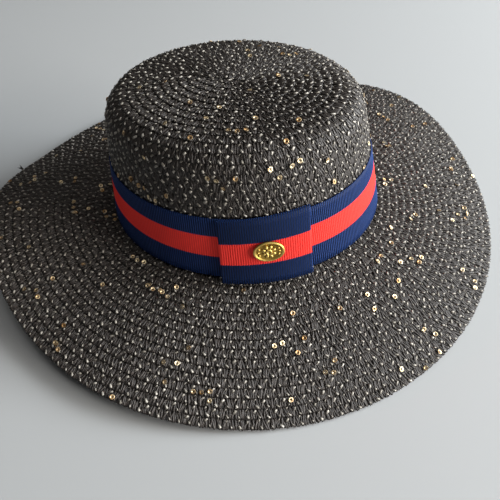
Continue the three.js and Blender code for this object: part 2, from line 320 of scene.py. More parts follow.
# Floor and lights, in metres
FLOOR_RADIUS = 1.4
FLOOR_SIDES = 128
FLOOR_COLOUR = (0.42, 0.435, 0.445)
FLOOR_ROUGHNESS = 0.9
LIGHT_TARGET = (0, 0, 0.05)
LIGHT_SIZE = 1.2
LIGHTS = (
    {"name": "window", "place": (2.07, 0.0, 1.01), "power": 94, "colour": (0.94, 0.98, 1.0)},
    {"name": "window_front", "place": (1.93, -1.03, 0.70), "power": 68, "colour": (1.0, 0.95, 0.89)},
    {"name": "ceiling", "place": (0.2, 0.0, 2.29), "power": 12, "colour": (1.0, 0.97, 0.93)},
)

# Sky: pale up to one height over the horizon and dim from another, both as sines of the angle
SKY_COLOUR = (1.0, 0.98, 0.96)
PALE_SKY = {"height": 0.2, "strength": 0.32}
DIM_SKY = {"height": 0.4, "strength": 0.005}

# Camera, in millimetres and pixels
IMAGE_WIDTH_PX = 500
FOCAL_LENGTH_PX = 520
SENSOR_WIDTH = 36
CAMERA_AZIMUTH_DEG = -6.0
CAMERA_ELEVATION_DEG = 51.43
CAMERA_ROLL_DEG = -1.13
CAMERA_LOOK_AT = (1.68, -38.27, 7.37)
CAMERA_DISTANCE = 393.83
CAMERA_NEAR = 10


def mounted_at(name):
    """Place of one of the record's mounts, in millimetres."""
    mount = next(m for m in frame["record"]["mounts"] if m["name"] == name)
    return np.array(mount["pos_m"]) / MM


FOLD_CENTRE = mounted_at("head_opening")
HAT_SHIFT = FOLD_CENTRE - (0, 0, FOLD_HEIGHT)
LEAN_BACK = Matrix.Rotation(-math.radians(LEAN_BACK_DEG), 3, "X")
LEAN_LEFT = Matrix.Rotation(-math.radians(LEAN_LEFT_DEG), 3, "Y")
LEAN = np.array(LEAN_BACK @ LEAN_LEFT)


# Surfaces of the hat

def turn_oval(x, y, z):
    """Points turned about the crown's axis with the oval."""
    cos, sin = math.cos(OVAL_TURN), math.sin(OVAL_TURN)
    return np.stack(np.broadcast_arrays(cos * x - sin * y, sin * x + cos * y, z), axis=-1)


def oval(angle, inset, height):
    """Points of the outer oval, moved inwards by an inset."""
    x = (OUTER_HALF_LENGTH - inset) * np.cos(angle)
    y = (OUTER_HALF_WIDTH - inset) * np.sin(angle)
    return turn_oval(x, y, height)


def oval_outward(angle):
    """Level directions that point straight out of the oval."""
    x = np.cos(angle) / OUTER_HALF_LENGTH
    y = np.sin(angle) / OUTER_HALF_WIDTH
    size = np.hypot(x, y)
    return turn_oval(x / size, y / size, 0.0)


def lean_over(points):
    """Points modelled up the crown's axis, moved to where the crown stands."""
    return points @ LEAN.T + FOLD_CENTRE


def crown_section():
    """Crown section from the fold to the middle of the tip: length so far, points and outward normals."""
    wall_angle = math.atan(WALL_LEAN)
    centre_z = CROWN_HEIGHT - SHOULDER_RADIUS
    centre_inset = WALL_LEAN * centre_z + SHOULDER_RADIUS / math.cos(wall_angle)
    wall_top = centre_z + SHOULDER_RADIUS * math.sin(wall_angle)
    wall_z = np.linspace(WALL_FOOT, wall_top, SECTION_CURVE_POINTS)
    wall = np.stack([WALL_LEAN * wall_z, wall_z], axis=1)
    angles = np.linspace(math.pi - wall_angle, math.pi / 2, SECTION_CURVE_POINTS)
    arc = np.stack([np.cos(angles), np.sin(angles)], axis=1)
    shoulder = np.array([centre_inset, centre_z]) + SHOULDER_RADIUS * arc
    top = CROWN_HEIGHT + TIP_DOME
    control = np.array([(centre_inset + OUTER_HALF_WIDTH) / 2, top])
    middle = np.array([OUTER_HALF_WIDTH, top])
    share = np.linspace(0, 1, SECTION_CURVE_POINTS)[:, None]
    tip = (1 - share) ** 2 * shoulder[-1] + 2 * share * (1 - share) * control + share ** 2 * middle
    points = np.concatenate([wall, shoulder[1:], tip[1:]])
    steps = np.linalg.norm(np.diff(points, axis=0), axis=1)
    length = np.concatenate([[0], np.cumsum(steps)])
    tangent = np.gradient(points, length, axis=0)
    normal = np.stack([-tangent[:, 1], tangent[:, 0]], axis=1)
    return length, points, normal


SECTION_LENGTH, SECTION_POINTS, SECTION_NORMALS = crown_section()
CROWN_PITCH = SECTION_LENGTH[-1] / CROWN_ROWS
BRIM_PITCH = BRIM_WIDTH / BRIM_ROWS


def crown_surface(angle, row, offset):
    """Crown points at a row counted from the middle of the tip, moved along the outward normal."""
    length = (CROWN_ROWS - row) * CROWN_PITCH
    inset, height, normal_inset, normal_height = (
        np.interp(length, SECTION_LENGTH, column)
        for column in (*SECTION_POINTS.T, *SECTION_NORMALS.T)
    )
    return lean_over(oval(angle, inset + normal_inset * offset, height + normal_height * offset))


def edge_height(direction):
    """Height of the brim's edge: a smooth curve through its heights, with slopes from their neighbours."""
    heights = np.array(BRIM_EDGE_HEIGHTS, float)
    count = len(heights)
    place = np.mod(direction, FULL_TURN) / FULL_TURN * count
    row = np.floor(place).astype(int)
    t = place - row
    before, start, end, after = (heights[(row + step) % count] for step in (-1, 0, 1, 2))
    start_slope = (end - before) / 2
    end_slope = (after - start) / 2
    cubic = 2 * start - 2 * end + start_slope + end_slope
    square = -3 * start + 3 * end - 2 * start_slope - end_slope
    return cubic * t ** 3 + square * t ** 2 + start_slope * t + start


def brim_surface(angle, row, offset):
    """Brim points at a row counted from the fold, moved along the upward normal."""
    share = row / BRIM_ROWS
    fold = oval(angle, 0, 0) @ LEAN.T + (0, 0, FOLD_HEIGHT)
    outward = oval_outward(angle)
    far = fold + BRIM_WIDTH * outward
    rise = edge_height(np.arctan2(far[..., 1], far[..., 0])) - fold[..., 2]
    reach = np.sqrt(BRIM_WIDTH ** 2 - rise ** 2)
    slope = rise + 4 * BRIM_BULGE * (1 - 2 * share)
    length = np.hypot(reach, slope)
    out = reach * share - slope / length * offset
    up = rise * share + 4 * BRIM_BULGE * share * (1 - share) + reach / length * offset
    points = fold + out[..., None] * outward
    points[..., 2] += up
    return points + HAT_SHIFT


class Braid:
    """A braid sewn in a spiral over a surface. Its places are a turn, a share across the row and a lift."""

    def __init__(self, surface, rows, pitch, inner_row, splice, start_deg, covered, most_repeats):
        self.surface = surface
        self.rows = rows
        self.pitch = pitch
        self.inner_row = inner_row
        self.splice = splice
        self.start = math.radians(start_deg)
        self.covered = covered
        self.most_repeats = most_repeats
        self.turns = np.arange((rows + 1) * SPIRAL_STEPS + 1) / SPIRAL_STEPS
        middle = self.place(self.turns, np.full(len(self.turns), 0.5), 0.0, OUTSIDE)
        steps = np.linalg.norm(np.diff(middle, axis=0), axis=1)
        self.lengths = np.concatenate([[0], np.cumsum(steps)])

    def outer_row(self, turn):
        """Row place of the braid's outer edge."""
        whole = np.floor(turn)
        ramp = (turn - whole - (1 - self.splice)) / self.splice
        return whole + np.clip(ramp, 0, 1)

    def row(self, turn, across):
        """Row place at a share across the braid."""
        return self.outer_row(turn) - 1 + across

    def place(self, turn, across, lift, side):
        """Points on one face of the straw. Each row rises towards its outer edge."""
        row = np.clip(self.row(turn, across), self.inner_row, None)
        wall = 0 if side == OUTSIDE else -STRAW_THICKNESS
        offset = wall + ROW_STEP * across * np.clip(row, 0, 1) + side * lift
        return self.surface(self.start + FULL_TURN * turn, row, offset)

    def turn_at(self, length):
        """Turn at a length along the braid."""
        return np.interp(length, self.lengths, self.turns)

    def frames(self, turn, across, lift, side):
        """Points with directions along the row, across it and out of the surface."""
        nudge = 1e-3
        point = self.place(turn, across, lift, side)
        along = self.place(turn + nudge, across, lift, side) - point
        away = self.place(turn, across, lift + nudge, side) - point
        along /= np.linalg.norm(along, axis=1, keepdims=True)
        away /= np.linalg.norm(away, axis=1, keepdims=True)
        return point, along, np.cross(along, away), away


WALL_ROWS_PER_MM = math.hypot(1, WALL_LEAN) / CROWN_PITCH
BAND_ROWS = tuple(
    CROWN_ROWS - (height - WALL_FOOT) * WALL_ROWS_PER_MM
    for height in (RIBBON_FOOT + RIBBON_WIDTH, RIBBON_FOOT)
)
CROWN_BRAID = Braid(
    crown_surface, CROWN_ROWS, CROWN_PITCH, inner_row=0, splice=CROWN_SPLICE,
    start_deg=CROWN_SPLICE_END_DEG, covered=BAND_ROWS, most_repeats=CROWN_REPEATS,
)
BRIM_BRAID = Braid(
    brim_surface, BRIM_ROWS, BRIM_PITCH, inner_row=-BRIM_COLLAR / BRIM_PITCH, splice=BRIM_SPLICE,
    start_deg=BRIM_SPLICE_END_DEG, covered=None, most_repeats=math.inf,
)


# Meshes

def mesh_piece(name, points, faces, material, corner_uv=None, smooth=True):
    """A shown piece that rides on the hat, from points in millimetres and arrays of equal-sided faces."""
    mesh = bpy.data.meshes.new(name)
    corners = np.concatenate([np.asarray(part).ravel() for part in faces]).astype(np.int32)
    sizes = np.concatenate([np.full(len(part), np.shape(part)[1]) for part in faces]).astype(np.int32)
    mesh.vertices.add(len(points))
    mesh.vertices.foreach_set("co", (np.asarray(points) * MM).astype(np.float32).ravel())
    mesh.loops.add(len(corners))
    mesh.loops.foreach_set("vertex_index", corners)
    mesh.polygons.add(len(sizes))
    starts = np.concatenate([[0], np.cumsum(sizes)[:-1]]).astype(np.int32)
    mesh.polygons.foreach_set("loop_start", starts)
    mesh.polygons.foreach_set("use_smooth", np.full(len(sizes), smooth))
    mesh.update(calc_edges=True)
    if corner_uv is not None:
        layer = mesh.uv_layers.new(name="UVMap")
        layer.data.foreach_set("uv", corner_uv.astype(np.float32).ravel())
    mesh.materials.append(material)
    piece = bpy.data.objects.new(name, mesh)
    bpy.context.scene.collection.objects.link(piece)
    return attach(piece, "root")


def drop_flat_faces(faces):
    """Quads with no corner twice, and triangles made from quads with two corners alike."""
    following = np.roll(faces, -1, axis=1)
    alike = faces == following
    count = alike.sum(axis=1)
    quads = faces[count == 0]
    single = faces[count == 1]
    kept = ~alike[count == 1]
    triangles = single[kept].reshape(-1, 3)
    return quads, triangles


def merge_points(points):
    """Index of the first point at each place, to a hundredth of a millimetre."""
    keys = np.round(points * MERGE_PLACES_PER_MM).astype(np.int64)
    _, first, inverse = np.unique(keys, axis=0, return_index=True, return_inverse=True)
    return first[inverse.ravel()]


def rim_faces(faces, back):
    """Quads from a skin's open edges to the same edges of its back, which are back points further on."""
    sides = [np.stack([part, np.roll(part, -1, axis=1)], axis=2).reshape(-1, 2) for part in faces]
    edges = np.concatenate(sides)
    forward = edges[:, 0].astype(np.int64) * 2 * back + edges[:, 1]
    backward = edges[:, 1].astype(np.int64) * 2 * back + edges[:, 0]
    open_edges = edges[~np.isin(forward, backward)]
    start, end = open_edges.T
    return np.stack([end, start, start + back, end + back], axis=1)


def shell(outside, inside, quads):
    """Points and faces of a closed wall between two skins with the same faces."""
    merged = merge_points(outside)[quads]
    parts = [part for part in drop_flat_faces(merged) if len(part)]
    back = len(outside)
    backs = [part[:, ::-1] + back for part in parts]
    return np.concatenate([outside, inside]), [*parts, *backs, rim_faces(parts, back)]


def copies(shapes, faces):
    """Points and faces of many closed shapes with the same faces, each turned right side out."""
    count, size, _ = shapes.shape
    local = shapes - shapes.mean(axis=1, keepdims=True)
    volume = np.zeros(count)
    for face in faces:
        for second, third in zip(face[1:-1], face[2:]):
            cross = np.cross(local[:, second], local[:, third])
            volume += (local[:, face[0]] * cross).sum(axis=1)
    first = (np.arange(count) * size)[:, None]
    parts = []
    for face in faces:
        corners = np.array(face) + first
        parts.append(np.where((volume > 0)[:, None], corners, corners[:, ::-1]))
    sides = sorted({part.shape[1] for part in parts})
    joined = [np.concatenate([part for part in parts if part.shape[1] == side]) for side in sides]
    return shapes.reshape(-1, 3), joined


# Straw

def ground(braid):
    """Closed wall of the braid's rows, stepped on both sides, as a spiral strip."""
    count = (braid.rows + 1) * GROUND_STEPS
    turn = np.arange(count + 1) / GROUND_STEPS
    outer = braid.outer_row(turn)
    low = np.clip(braid.inner_row + 1 - outer, 0, 1)
    high = np.clip(braid.rows + 1 - outer, 0, 1)
    levels = GROUND_LEVELS
    across = np.stack([low + (high - low) * j / (levels - 1) for j in range(levels)], axis=1)
    turns = np.repeat(turn[:, None], levels, axis=1)
    outside = braid.place(turns, across, 0.0, OUTSIDE).reshape(-1, 3)
    inside = braid.place(turns, across, 0.0, INSIDE).reshape(-1, 3)
    column = np.arange(count)
    quads = []
    for j in range(levels - 1):
        here = column * levels + j
        quads.append(np.stack([here, here + 1, here + levels + 1, here + levels], axis=1))
    column = np.arange(count - GROUND_STEPS)
    edge = column * levels + levels - 1
    inner = (column + GROUND_STEPS) * levels
    quads.append(np.stack([edge, inner, inner + levels, edge + levels], axis=1))
    return shell(outside, inside, np.concatenate(quads))


def strand_shapes(braid, side, along, band, stray):
    """Corners of slim closed strands that run at a slant across a band of the row, with short blunt ends."""
    run = (band["end"] - band["start"]) * braid.pitch
    drift = band["drift"] * (1 + stray["slant"])
    length = np.hypot(run, drift)
    size = 1 + stray["size"]
    lump = LUMP_RELIEF * np.sin(FULL_TURN * along / LUMP_PITCH)
    sink = 0 if side == OUTSIDE else INSIDE_SINK
    shapes = []
    for corner in STRAND_CORNERS:
        aside = corner["aside"] * band["half_width"] * size
        turn = braid.turn_at(along + drift * (corner["station"] - 0.5) - aside * run / length)
        across = band["start"] + (band["end"] - band["start"]) * corner["station"] + stray["across"]
        across = across + aside * drift / length / braid.pitch
        level = corner["lift"] if side == OUTSIDE else SWAPPED_LIFTS[corner["lift"]]
        lift = (band[level] - band["depth"] * abs(corner["aside"])) * size + stray["heave"] + lump - sink
        shapes.append(braid.place(turn, across, lift, side))
    return np.stack(shapes, axis=1)


def shown_lengths(braid, side, along, band):
    """The lengths along the braid where a strand of this band lies on the hat and isn't under the ribbon."""
    turn = braid.turn_at(along)
    low, high = sorted((band["start"], band["end"]))
    nearest = braid.row(turn, low)
    farthest = braid.row(turn, high)
    keep = (farthest < braid.rows + OUTER_OVERHANG) & (nearest > braid.inner_row - INNER_OVERHANG)
    if side == OUTSIDE and braid.covered:
        top, foot = braid.covered
        keep &= (farthest < top + UNDER_RIBBON) | (nearest > foot - UNDER_RIBBON)
    return along[keep]


def repeat_places(braid):
    """Lengths along the braid where the thread's repeats start."""
    ends = np.interp(np.arange(braid.rows + 2), braid.turns, braid.lengths)
    repeats = np.minimum(np.diff(ends) / THREAD_REPEAT, braid.most_repeats)
    count = np.concatenate([[0], np.cumsum(repeats)])
    return np.interp(np.arange(count[-1]), count, ends)


def strands(braid, side, bands, places, stray, rng):
    """Strands of all bands over the whole braid, each a little out of place, slant and size."""
    shapes = []
    for band in bands:
        along = places + band["shift"] + stray["along"] * rng.uniform(-1, 1, len(places))
        along = shown_lengths(braid, side, along, band)
        drawn = {name: amount * rng.uniform(-1, 1, len(along)) for name, amount in stray.items()}
        shapes.append(strand_shapes(braid, side, along, band, drawn))
    return copies(np.concatenate(shapes), STRAND_FACES)


def sequin_lengths(total, rng):
    """Places of sequins along the braid: far apart, alone or in short runs."""
    places = []
    place = rng.exponential(SEQUIN_SPACING)
    while place < total:
        run = rng.choice(len(SEQUIN_RUN_CHANCES), p=SEQUIN_RUN_CHANCES)
        places += [place + SEQUIN_RUN_STEP * i for i in range(run + 1)]
        place += rng.exponential(SEQUIN_SPACING)
    return np.array(places)


def sequins(braid, rng):
    """Cupped rings that lie loosely on the plait, tilted at random."""
    along = sequin_lengths(braid.lengths[-1], rng)
    along = shown_lengths(braid, OUTSIDE, along, PLAIT_BANDS[0])
    turn = braid.turn_at(along)
    across = rng.uniform(*SEQUIN_ACROSS, len(along))
    point, row, out, normal = braid.frames(turn, across, SEQUIN_LIFT, OUTSIDE)
    tilt = math.radians(SEQUIN_TILT_DEG) * rng.uniform(-1, 1, (2, len(along), 1))
    normal = normal + np.tan(tilt[0]) * row + np.tan(tilt[1]) * out
    normal /= np.linalg.norm(normal, axis=1, keepdims=True)
    first = np.cross(out, normal)
    first /= np.linalg.norm(first, axis=1, keepdims=True)
    second = np.cross(normal, first)
    rings = []
    for ring in SEQUIN_SECTION:
        for i in range(SEQUIN_SIDES):
            angle = FULL_TURN * i / SEQUIN_SIDES
            flat = math.cos(angle) * first + math.sin(angle) * second
            rings.append(point + ring["radius"] * flat + ring["height"] * normal)
    return copies(np.stack(rings, axis=1), ring_faces(len(SEQUIN_SECTION), SEQUIN_SIDES))


def ring_faces(rings, sides):
    """Quads of a closed tube of rings whose last ring joins the first."""
    faces = []
    for r in range(rings):
        for i in range(sides):
            j = (i + 1) % sides
            after = (r + 1) % rings
            faces.append((r * sides + i, r * sides + j, after * sides + j, after * sides + i))
    return faces


def braid_end(braid, rng):
    """Pointed ends of yarns that stick out of the edge where the braid stops."""
    turn = np.full(END_YARNS, float(braid.rows))
    across = np.full(END_YARNS, END_ACROSS)
    point, along, out, away = braid.frames(turn, across, END_LIFT, OUTSIDE)
    spread = math.tan(math.radians(END_SPREAD_DEG)) * rng.uniform(-1, 1, (2, END_YARNS, 1))
    direction = out + END_RISE * away + spread[0] * along + spread[1] * away
    direction /= np.linalg.norm(direction, axis=1, keepdims=True)
    first = np.cross(direction, along)
    first *= END_HALF_WIDTH / np.linalg.norm(first, axis=1, keepdims=True)
    second = np.cross(direction, first)
    tip = point + END_LENGTH * rng.uniform(END_SHORTEST, 1, (END_YARNS, 1)) * direction
    shapes = np.stack([point + first, point + second, point - first, point - second, tip], axis=1)
    return copies(shapes, END_FACES)


def dress_straw(name, braid, materials):
    """The pieces of braid that stand for one straw solid: ground, plait, thread and sequins."""
    rng = np.random.default_rng(SEED)
    points, faces = ground(braid)
    piece = mesh_piece(f"{name}_ground", points, faces, materials["ground"], smooth=False)
    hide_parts(name)
    strand_places = np.arange(0, braid.lengths[-1], STRAND_STEP)
    thread_places = repeat_places(braid)
    for side, where in ((OUTSIDE, "outside"), (INSIDE, "inside")):
        points, faces = strands(braid, side, PLAIT_BANDS, strand_places, STRAND_STRAY, rng)
        mesh_piece(f"{name}_plait_{where}", points, faces, materials["strand"])
        points, faces = strands(braid, side, THREAD_DASHES, thread_places, THREAD_STRAY, rng)
        mesh_piece(f"{name}_thread_{where}", points, faces, materials["thread"])
    points, faces = sequins(braid, rng)
    mesh_piece(f"{name}_sequins", points, faces, materials["sequin"])


# Ribbons

def wall_point(angle, height, offset):
    """Points over the crown's wall line, moved straight out of it."""
    return lean_over(oval(angle, WALL_LEAN * height - offset, height))


def oval_place(direction_deg):
    """Place on the oval that faces a direction, and how far the oval runs there for each radian."""
    direction = math.radians(direction_deg) - OVAL_TURN
    angle = math.atan2(math.sin(direction) / OUTER_HALF_WIDTH, math.cos(direction) / OUTER_HALF_LENGTH)
    speed = math.hypot(OUTER_HALF_LENGTH * math.sin(angle), OUTER_HALF_WIDTH * math.cos(angle))
    return angle, speed


def grid_quads(columns, levels):
    """Quads of a grid of points stored column by column, whose last column joins the first."""
    column = np.arange(columns)[:, None]
    level = np.arange(levels - 1)[None, :]
    here = column * levels + level
    there = (column + 1) % columns * levels + level
    return np.stack([here, there, there + 1, here + 1], axis=2).reshape(-1, 4)


def ribbon_shell(name, outside, inside, along, stripe, material):
    """A closed ribbon from two grids of points, with its length and its stripe place as the texture map."""
    columns, levels, _ = outside.shape
    quads = grid_quads(columns, levels)
    points, faces = shell(outside.reshape(-1, 3), inside.reshape(-1, 3), quads)
    flat = np.stack(np.broadcast_arrays(along[:, None], stripe), axis=2).reshape(-1, 2)
    quads = np.concatenate(faces)
    corner_uv = np.concatenate([flat, flat])[quads]
    ribs = columns / len(RIB_SECTION)
    across_join = np.ptp(corner_uv[..., 0], axis=1, keepdims=True) > ribs / 2
    corner_uv[..., 0] += ribs * (across_join & (corner_uv[..., 0] < ribs / 2))
    return mesh_piece(name, points, [quads], material, corner_uv)


def ribbon_band(material):
    """Ribbon around the foot of the crown, with a rib for every weft."""
    perimeter = math.pi * (OUTER_HALF_LENGTH + OUTER_HALF_WIDTH)
    ribs = round(perimeter / RIB_PITCH)
    columns = ribs * len(RIB_SECTION)
    angle = (FULL_TURN * np.arange(columns) / columns)[:, None]
    height = (RIBBON_FOOT + RIBBON_WIDTH * np.linspace(0, 1, RIBBON_LEVELS))[None, :]
    relief = RIB_RELIEF * np.tile(RIB_SECTION, ribs)[:, None]
    outside = wall_point(angle, height, BAND_OUTER_OFFSET - RIB_RELIEF + relief)
    inside = wall_point(angle, height, BAND_INNER_OFFSET)
    edges = (RIBBON_FOOT, *BAND_RED, RIBBON_FOOT + RIBBON_WIDTH)
    stripe = np.interp(height, edges, STRIPE_PLACES)
    along = np.arange(columns) / len(RIB_SECTION)
    piece = ribbon_shell("ribbon_band_cloth", outside, inside, along, stripe, material)
    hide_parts("ribbon_band")


def tab_outline(half_thickness):
    """Cross-section of the flat loop as places along and out, with a place for every part of a rib."""
    half_run = TAB_HALF_WIDTH - TAB_THICKNESS / 2
    straight = 2 * half_run
    bend = math.pi * TAB_THICKNESS / 2
    around = 2 * straight + 2 * bend
    ribs = round(around / RIB_PITCH)
    columns = ribs * len(RIB_SECTION)
    place = np.arange(columns) / columns * around
    starts = np.cumsum([0, straight, bend, straight])
    along = np.empty(columns)
    out = np.empty(columns)
    front = place < starts[1]
    right = (place >= starts[1]) & (place < starts[2])
    back = (place >= starts[2]) & (place < starts[3])
    left = place >= starts[3]
    along[front], out[front] = place[front] - half_run, half_thickness
    swing = math.pi * (place[right] - starts[1]) / bend
    along[right] = half_run + half_thickness * np.sin(swing)
    out[right] = half_thickness * np.cos(swing)
    along[back], out[back] = half_run - (place[back] - starts[2]), -half_thickness
    swing = math.pi * (place[left] - starts[3]) / bend
    along[left] = -half_run - half_thickness * np.sin(swing)
    out[left] = -half_thickness * np.cos(swing)
    return along, out, ribs


def tab_column(column, share):
    """A column of the tab's profile, at shares of the way up it."""
    heights = [row["height"] for row in TAB_PROFILE]
    low, high = heights[0], heights[-1]
    return np.interp(low + (high - low) * share, heights, [row[column] for row in TAB_PROFILE])


def ribbon_tab(material):
    """Flat loop of the same ribbon over the band's join, with folded ends."""
    angle, speed = oval_place(TAB_DIRECTION_DEG)
    share = np.linspace(0, 1, RIBBON_LEVELS)[None, :]
    height, stand_off, climb, right = (
        tab_column(name, share) for name in ("height", "stand_off", "climb", "right")
    )
    middle = BAND_OUTER_OFFSET + stand_off + TAB_THICKNESS / 2
    skins = []
    for half in (TAB_THICKNESS / 2, TAB_THICKNESS / 2 - TAB_CLOTH):
        along, out, ribs = tab_outline(half)
        relief = RIB_RELIEF * (np.tile(RIB_SECTION, ribs) - 1)
        outward = out * (1 + relief / half) if half == TAB_THICKNESS / 2 else out
        along = along[:, None]
        along = along + right * np.clip(along / TAB_HALF_WIDTH, 0, 1)
        skins.append(wall_point(angle + along / speed, height + climb * along, middle + outward[:, None]))
    stripe = np.interp(share, (0, *TAB_RED_SHARES, 1), STRIPE_PLACES)
    place = np.arange(len(along)) / len(RIB_SECTION)
    piece = ribbon_shell("ribbon_tab_cloth", skins[0][::-1], skins[1][::-1], place, stripe, material)
    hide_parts("ribbon_tab")


# Ornament

def turned(section, half_width, half_height, sides, centre=(0, 0, 0)):
    """Points and faces of a section turned about the z axis, from its lowest middle to its highest."""
    angle = FULL_TURN * np.arange(sides) / sides
    reach = np.array([row["reach"] for row in section])[:, None]
    height = np.array([row["height"] for row in section])[:, None]
    x = half_width * reach * np.cos(angle)
    y = half_height * reach * np.sin(angle)
    points = np.stack(np.broadcast_arrays(x, y, height), axis=-1).reshape(-1, 3) + centre
    ring = np.arange(len(section) - 1)[:, None] * sides
    here = np.arange(sides)[None, :]
    after = (here + 1) % sides
    quads = np.stack([ring + here, ring + after, ring + sides + after, ring + sides + here], axis=2)
    faces = drop_flat_faces(merge_points(points)[quads.reshape(-1, 4)])
    return points, [part for part in faces if len(part)]


def bead_section(height):
    """Section of a ball as high as given above and below its middle."""
    angles = np.linspace(-math.pi / 2, math.pi / 2, BEAD_RINGS)
    reaches = np.cos(angles)
    reaches[[0, -1]] = 0
    return [{"reach": reach, "height": height * math.sin(angle)} for reach, angle in zip(reaches, angles)]


def ornament_parts():
    """Plate, rosette and grains of the casting, flat on the z = 0 plane."""
    parts = [
        turned(PLATE_SECTION, ORNAMENT_HALF_WIDTH, ORNAMENT_HALF_HEIGHT, PLATE_SIDES),
        turned(CENTRE_SECTION, CENTRE_RADIUS, CENTRE_RADIUS, CENTRE_SIDES),
    ]
    for i in range(PETAL_COUNT):
        angle = FULL_TURN * (i + 0.5) / PETAL_COUNT
        points, faces = turned(bead_section(PETAL_HEIGHT), PETAL_HALF_LENGTH, PETAL_HALF_WIDTH, BEAD_SIDES)
        spin = np.array(Matrix.Rotation(angle, 3, "Z"))
        place = (PETAL_CIRCLE * math.cos(angle), PETAL_CIRCLE * math.sin(angle), ORNAMENT_BASE)
        parts.append((points @ spin.T + place, faces))
    for side in (-1, 1):
        for step in (-1, 0, 1):
            place = (side * (GRAIN_REACH - GRAIN_CURVE * abs(step)), GRAIN_SPACING * step, ORNAMENT_BASE)
            parts.append(turned(bead_section(GRAIN_RADIUS), GRAIN_RADIUS, GRAIN_RADIUS, BEAD_SIDES, place))
    return parts


def ornament_place():
    """Middle of the plate's back on the tab, and the directions to its side, its top and out of it."""
    angle, speed = oval_place(TAB_DIRECTION_DEG)
    angle += ORNAMENT_SIDE_SHIFT / speed
    heights = [row["height"] for row in TAB_PROFILE]
    stand_offs = [row["stand_off"] for row in TAB_PROFILE]
    upper = next(i for i, height in enumerate(heights) if height > ORNAMENT_HEIGHT)
    fall = (stand_offs[upper - 1] - stand_offs[upper]) / (heights[upper] - heights[upper - 1])
    stand_off = np.interp(ORNAMENT_HEIGHT, heights, stand_offs)
    normal = oval_outward(angle) + (0, 0, WALL_LEAN + fall)
    normal /= np.linalg.norm(normal)
    side = np.cross((0, 0, 1), normal)
    side /= np.linalg.norm(side)
    axes = np.stack([side, np.cross(normal, side), normal]) @ LEAN.T
    back = wall_point(angle, ORNAMENT_HEIGHT, BAND_OUTER_OFFSET + stand_off + TAB_THICKNESS)
    return back + SEAT_GAP * axes[2], axes


def ornament(material):
    """The casting as one piece, with its relief as the texture map, which places the brass's painted shade
    and highlight.
    """
    place, axes = ornament_place()
    points = []
    faces = []
    count = 0
    for part_points, part_faces in ornament_parts():
        points.append(part_points)
        faces += [face + count for face in part_faces]
        count += len(part_points)
    points = np.concatenate(points)
    corners = np.concatenate([part.ravel() for part in faces])
    # The relief height sets where the brass gets painted shade and a painted highlight
    relief = points[:, 2] / (ORNAMENT_BASE + CENTRE_RISE)
    corner_uv = np.stack([np.zeros(len(corners)), relief[corners]], axis=1)
    piece = mesh_piece("ornament_casting", place + points @ axes, faces, material, corner_uv)
    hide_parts("ornament")


# Materials

def new_material(name):
    """A material with its node tree, its Principled shader and a function that adds and links nodes."""
    material = bpy.data.materials.new(name)
    material.use_nodes = True
    tree = material.node_tree
    shader = tree.nodes["Principled BSDF"]

    def node(kind, inputs=None, **settings):
        made = tree.nodes.new(kind)
        for key, value in settings.items():
            setattr(made, key, value)
        for key, value in (inputs or {}).items():
            if isinstance(value, bpy.types.NodeSocket):
                tree.links.new(value, made.inputs[key])
            else:
                made.inputs[key].default_value = value
        return made

    return material, tree, shader, node


def colour_ramp(node, factor, places, tones):
    """Colour that goes through tones at places of a factor."""
    ramp = node("ShaderNodeValToRGB", {"Fac": factor})
    elements = ramp.color_ramp.elements
    while len(elements) < len(tones):
        elements.new(1.0)
    for element, place, tone in zip(elements, places, tones):
        element.position = place
        element.color = (*tone, 1.0)
    return ramp.outputs["Color"]


def noise(node, coords, scale, detail):
    """Noise from 0 to 1 over the piece's own coordinates."""
    return node("ShaderNodeTexNoise", {"Vector": coords, "Scale": scale, "Detail": detail}).outputs["Fac"]


def straw_material(name, tones, roughness, bump):
    """Black paper yarn: tone that varies from strand to strand, and a fine twisted grain."""
    material, tree, shader, node = new_material(name)
    coords = node("ShaderNodeTexCoord").outputs["Object"]
    patches = noise(node, coords, STRAW_PATCH_SCALE, STRAW_NOISE_DETAIL)
    tree.links.new(colour_ramp(node, patches, STRAW_TONE_PLACES, tones), shader.inputs["Base Color"])
    grain = noise(node, coords, STRAW_GRAIN_SCALE, STRAW_NOISE_DETAIL)
    relief = node("ShaderNodeBump", {"Height": grain, "Strength": bump, "Distance": STRAW_BUMP_HEIGHT * MM})
    tree.links.new(relief.outputs["Normal"], shader.inputs["Normal"])
    shader.inputs["Roughness"].default_value = roughness
    shader.inputs["Specular IOR Level"].default_value = STRAW_SPECULAR
    return material


def metal_material(name, tones, metallic, roughness, patch_scale):
    """Metal whose colour varies from piece to piece."""
    material, tree, shader, node = new_material(name)
    coords = node("ShaderNodeTexCoord").outputs["Object"]
    patches = noise(node, coords, patch_scale, METAL_NOISE_DETAIL)
    tree.links.new(colour_ramp(node, patches, METAL_TONE_PLACES, tones), shader.inputs["Base Color"])
    shader.inputs["Metallic"].default_value = metallic
    shader.inputs["Roughness"].default_value = roughness
    return material


def map_range(node, value, from_min=0.0, from_max=1.0, to_min=0.0, to_max=1.0):
    """A value moved from one range to another, and held inside it."""
    inputs = {
        "Value": value, "From Min": from_min, "From Max": from_max, "To Min": to_min, "To Max": to_max,
    }
    return node("ShaderNodeMapRange", inputs).outputs["Result"]


